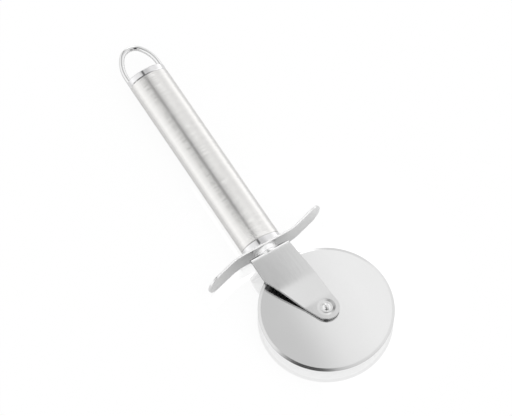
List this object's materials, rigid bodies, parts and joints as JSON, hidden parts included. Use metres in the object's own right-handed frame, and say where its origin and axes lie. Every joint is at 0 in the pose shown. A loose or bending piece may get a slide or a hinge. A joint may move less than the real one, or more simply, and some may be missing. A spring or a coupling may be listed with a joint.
{
  "type": "pizza cutter wheel",
  "caption": "Hand-held pizza cutter with an oval tube handle, wire hanging loop, finger guard, one-armed sheet bracket and a freely turning cutting wheel.",
  "frame": {"origin": "inside of the hanging loop's top, where a hook bears, on the handle's axis", "axes": "+X runs down the handle towards the wheel; +Z is the wheel's axle, towards the bracket's arm and up as the tool lies; +Y is the side that the wheel stands off to"},
  "size_m": [0.221, 0.0808, 0.0132],
  "materials": {
    "satin_tube": "stainless steel, brushed round the handle to a satin finish",
    "polished_steel": "stainless steel, mirror polished",
    "polished_wire": "stainless steel wire, mirror polished",
    "guard_steel": "stainless steel strip, finely polished",
    "bracket_steel": "stainless steel sheet, fine satin",
    "wheel_steel": "hardened stainless steel, fine ground and polished",
    "rivet_steel": "stainless steel, polished head",
    "fastener_steel": "stainless steel, plain turned",
    "bush_bronze": "bronze, plain turned"
  },
  "bodies": {
    "handle": {"handle_tube": "satin_tube", "neck_plug": "polished_steel", "end_cap": "polished_steel", "hanging_loop": "polished_wire", "finger_guard": "guard_steel", "spacer": "polished_steel", "wheel_bracket": "bracket_steel", "lock_washer": "fastener_steel", "bracket_screw": "fastener_steel", "washer_upper": "fastener_steel", "washer_lower": "fastener_steel", "axle_sleeve": "rivet_steel", "axle_pin": "rivet_steel"},
    "wheel": {"cutting_wheel": "wheel_steel", "hub_bush": "bush_bronze"}
  },
  "joints": [
    {"name": "wheel_spin", "type": "hinge", "parent": "handle", "child": "wheel", "pos_m": [0.1832, 0.009, 0], "axis": [0, 0, 1], "continuous": true}
  ]
}
